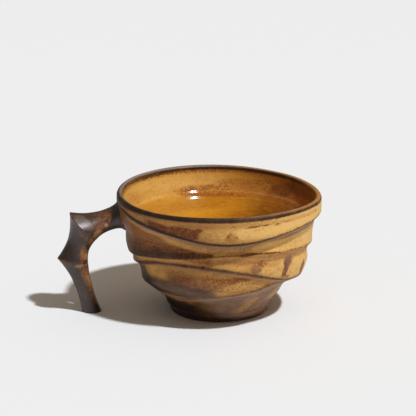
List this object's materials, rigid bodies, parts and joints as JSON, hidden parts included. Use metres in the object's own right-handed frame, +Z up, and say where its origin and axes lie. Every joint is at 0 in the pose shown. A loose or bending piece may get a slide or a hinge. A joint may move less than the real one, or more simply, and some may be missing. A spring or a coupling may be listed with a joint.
{
  "type": "coffee mug",
  "caption": "Wide stoneware coffee mug with a carved wavy wall, a turned foot and a thorny branch handle that stands on its own leg.",
  "frame": {"origin": "middle of the foot's flat underside, on the bowl's axis, at table level", "axes": "+Z up along the bowl's axis, -X towards the handle, so the handle lies in the XZ plane"},
  "size_m": [0.155, 0.12, 0.0726],
  "materials": {
    "body_glaze": "semi-matte ochre glaze breaking to dark brown on the arrises, glossier inside",
    "foot_glaze": "semi-matte dark brown glaze, bare clay underneath",
    "handle_glaze": "semi-matte dark brown glaze with ochre patches",
    "slip": "matte fired slip"
  },
  "bodies": {
    "root": {"bowl": "body_glaze", "foot": "foot_glaze", "foot_slip_seam": "slip", "handle_slip_bead": "slip", "handle_arm": "handle_glaze", "thorn_slip_seam": "slip", "handle_elbow": "handle_glaze", "spur_slip_seam": "slip", "handle_leg": "handle_glaze"}
  },
  "joints": []
}
